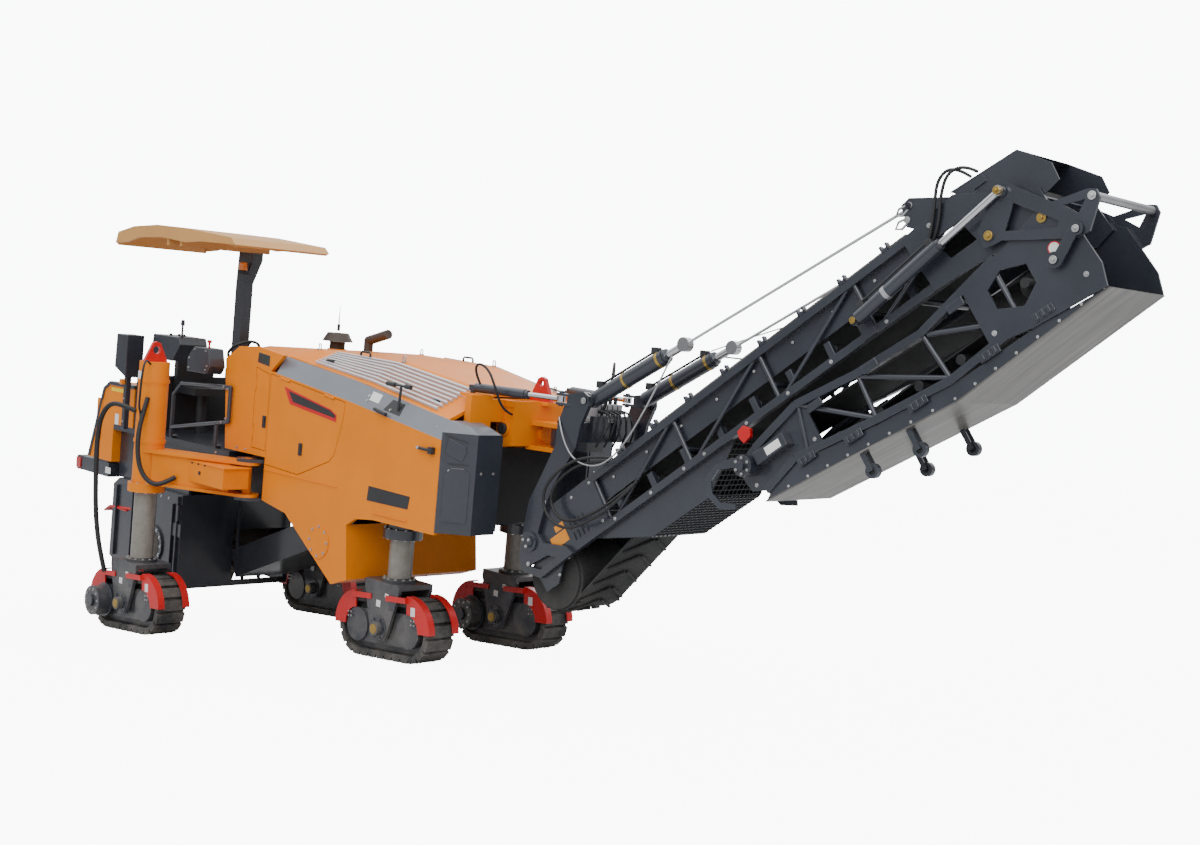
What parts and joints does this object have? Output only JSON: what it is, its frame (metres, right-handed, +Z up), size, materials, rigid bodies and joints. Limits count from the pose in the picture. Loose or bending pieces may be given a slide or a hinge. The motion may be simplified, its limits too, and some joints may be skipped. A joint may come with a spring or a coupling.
{
  "type": "cold planer",
  "caption": "Road milling machine on four crawler tracks with a milling drum, a canopied operator platform and a folding discharge conveyor at the front.",
  "frame": {"origin": "centre of the bounding box at ground level", "axes": "+X forwards towards the discharge conveyor, +Y to the machine's left, +Z up"},
  "size_m": [12.3356, 2.997, 4.287],
  "materials": {
    "canopy": "moulded",
    "dark": "satin paint",
    "iron": "matte",
    "orange": "satin paint",
    "red": "gloss paint",
    "rubber": "matte",
    "sheet": "matte",
    "steel": "worn"
  },
  "bodies": {
    "machine": {"swing_arm": "orange", "side_shells": "orange", "hood": "orange", "grey_bands": "dark", "corner_covers": "dark", "chassis": "dark", "drum_housing": "dark", "collecting_trough": "dark", "platform_deck": "orange", "rear_tank": "orange", "rear_bumper": "dark", "tail_lamps": "red", "consoles": "dark", "seats_and_cabinet": "dark", "handrails": "dark", "canopy_post": "dark", "canopy": "canopy", "grille": "dark", "exhaust_and_precleaner": "dark", "lifting_eyes": "red", "engine": "iron", "front_beam": "orange", "rubber_sheet": "rubber"},
    "leg_front_right": {"leg_front_right": "dark", "track_front_right": "iron", "track_guards_front_right": "red"},
    "leg_front_left": {"leg_front_left": "dark", "track_front_left": "iron", "track_guards_front_left": "red"},
    "leg_rear_right": {"leg_rear_right": "dark", "track_rear_right": "iron", "track_guards_rear_right": "red"},
    "leg_rear_left": {"leg_rear_left": "dark", "track_rear_left": "iron", "track_guards_rear_left": "red"},
    "drum": {"milling_drum": "iron"},
    "slew_frame": {"slew_frame": "dark"},
    "slew_barrel_right": {"slew_barrel_right": "dark"},
    "slew_rod_right": {"slew_rod_right": "steel"},
    "slew_barrel_left": {"slew_barrel_left": "dark"},
    "slew_rod_left": {"slew_rod_left": "steel"},
    "boom": {"boom_frame": "dark", "boom_belt": "rubber", "boom_drums": "rubber", "belt_cover": "sheet", "mesh_guard": "dark"},
    "lift_barrels": {"lift_barrels": "dark"},
    "lift_rods": {"lift_rods": "steel"},
    "head": {"head_frame": "dark", "head_belt": "rubber", "head_drums": "rubber", "head_cover": "sheet", "head_casters": "dark"},
    "fold_crank": {"fold_crank": "dark"},
    "fold_links": {"fold_links": "dark"},
    "fold_barrels": {"fold_barrels": "dark"},
    "fold_rods": {"fold_rods": "steel"},
    "service_door_right": {"service_door_right": "orange"},
    "service_door_left": {"service_door_left": "orange"},
    "small_door": {"small_door": "orange"}
  },
  "joints": [
    {"name": "steer_front_right", "type": "hinge", "parent": "machine", "child": "leg_front_right", "pos_m": [-0.5618, -0.2785, 0.29], "axis": [0.1011, 0, 0.9949], "range_deg": [-20, 20]},
    {"name": "steer_front_left", "type": "hinge", "parent": "machine", "child": "leg_front_left", "pos_m": [-0.5618, 1.1515, 0.29], "axis": [0.1011, 0, 0.9949], "range_deg": [-20, 20]},
    {"name": "steer_rear_right", "type": "hinge", "parent": "machine", "child": "leg_rear_right", "pos_m": [-3.6618, -1.1785, 0.29], "axis": [0.1011, 0, 0.9949], "range_deg": [-12, 12]},
    {"name": "steer_rear_left", "type": "hinge", "parent": "machine", "child": "leg_rear_left", "pos_m": [-3.6618, 1.1515, 0.29], "axis": [0.1011, 0, 0.9949], "range_deg": [-12, 12]},
    {"name": "drum_spin", "type": "hinge", "parent": "machine", "child": "drum", "pos_m": [-4.48046, 0.1265, 0.79861], "axis": [0, 1, 0], "continuous": true},
    {"name": "conveyor_slew", "type": "hinge", "parent": "machine", "child": "slew_frame", "pos_m": [0.87482, 0.4365, 2.0639], "axis": [0.1011, 0, 0.9949], "range_deg": [-32.7, 27.3]},
    {"name": "slew_barrel_swing_right", "type": "hinge", "parent": "machine", "child": "slew_barrel_right", "pos_m": [0.34664, -0.1635, 2.50453], "axis": [0.1011, 0, 0.9949], "range_deg": [-9.07, 7.66]},
    {"name": "slew_rod_slide_right", "type": "slide", "parent": "slew_barrel_right", "child": "slew_rod_right", "axis": [0.9758, 0.1951, -0.0991], "range_m": [-0.27525, 0.22979]},
    {"name": "slew_barrel_swing_left", "type": "hinge", "parent": "machine", "child": "slew_barrel_left", "pos_m": [0.34664, 1.0365, 2.50453], "axis": [0.1011, 0, 0.9949], "range_deg": [-9.07, 7.66]},
    {"name": "slew_rod_slide_left", "type": "slide", "parent": "slew_barrel_left", "child": "slew_rod_left", "axis": [0.9806, -0.1688, -0.0996], "range_m": [-0.22979, 0.27525]},
    {"name": "boom_lift", "type": "hinge", "parent": "slew_frame", "child": "boom", "pos_m": [0.93427, 0.44356, 1.16868], "axis": [0.0469, -0.9989, -0.0048], "range_deg": [-27, 3]},
    {"name": "lift_barrel_swing", "type": "hinge", "parent": "slew_frame", "child": "lift_barrels", "pos_m": [1.53138, 0.46571, 2.39927], "axis": [0.0469, -0.9989, -0.0048], "range_deg": [-33.14, 4.13]},
    {"name": "lift_rod_slide", "type": "slide", "parent": "lift_barrels", "child": "lift_rods", "axis": [0.908, 0.0406, 0.417], "range_m": [-0.05934, 0.53406]},
    {"name": "head_fold", "type": "hinge", "parent": "boom", "child": "head", "pos_m": [5.67125, 0.65402, 3.63998], "axis": [0.0469, -0.9989, -0.0048], "range_deg": [0, 178]},
    {"name": "fold_crank_swing", "type": "hinge", "parent": "boom", "child": "fold_crank", "pos_m": [5.30025, 0.6371, 3.53894], "axis": [0.0469, -0.9989, -0.0048], "range_deg": [-0.5, 77.04]},
    {"name": "fold_link_swing", "type": "hinge", "parent": "fold_crank", "child": "fold_links", "pos_m": [5.93991, 0.66709, 3.54337], "axis": [0.0469, -0.9989, -0.0048], "range_deg": [-12.2, 0.5]},
    {"name": "fold_barrel_swing", "type": "hinge", "parent": "boom", "child": "fold_barrels", "pos_m": [4.27029, 0.59139, 2.99041], "axis": [0.0469, -0.9989, -0.0048], "range_deg": [-0.5, 6.23]},
    {"name": "fold_rod_slide", "type": "slide", "parent": "fold_barrels", "child": "fold_rods", "axis": [0.799, 0.0346, 0.6003], "range_m": [-0.36492, 0.002]},
    {"name": "service_door_right", "type": "hinge", "parent": "machine", "child": "service_door_right", "pos_m": [-0.94566, -0.6135, 2.34933], "axis": [-0.976, 0, 0.2178], "range_deg": [0, 75]},
    {"name": "service_door_left", "type": "hinge", "parent": "machine", "child": "service_door_left", "pos_m": [-0.94566, 1.4865, 2.34933], "axis": [0.976, 0, -0.2178], "range_deg": [0, 75]},
    {"name": "small_door", "type": "hinge", "parent": "machine", "child": "small_door", "pos_m": [-2.47824, -0.6135, 2.20346], "axis": [-0.1011, 0, -0.9949], "range_deg": [0, 100]}
  ],
  "couplings": [
    {"joint": "steer_front_left", "follows": "steer_front_right", "ratio": 1},
    {"joint": "steer_rear_left", "follows": "steer_rear_right", "ratio": 1},
    {"joint": "slew_barrel_swing_right", "follows": "conveyor_slew", "ratio": 0.2622},
    {"joint": "slew_rod_slide_right", "follows": "conveyor_slew", "m_per_rad": 0.4775},
    {"joint": "slew_barrel_swing_left", "follows": "conveyor_slew", "ratio": 0.2622},
    {"joint": "slew_rod_slide_left", "follows": "conveyor_slew", "m_per_rad": -0.4775},
    {"joint": "lift_barrel_swing", "follows": "boom_lift", "ratio": 1.209},
    {"joint": "lift_rod_slide", "follows": "boom_lift", "m_per_rad": -1.1221},
    {"joint": "fold_crank_swing", "follows": "head_fold", "ratio": 0.43},
    {"joint": "fold_link_swing", "follows": "head_fold", "ratio": -0.065},
    {"joint": "fold_barrel_swing", "follows": "head_fold", "ratio": 0.0322},
    {"joint": "fold_rod_slide", "follows": "head_fold", "m_per_rad": -0.1163}
  ]
}
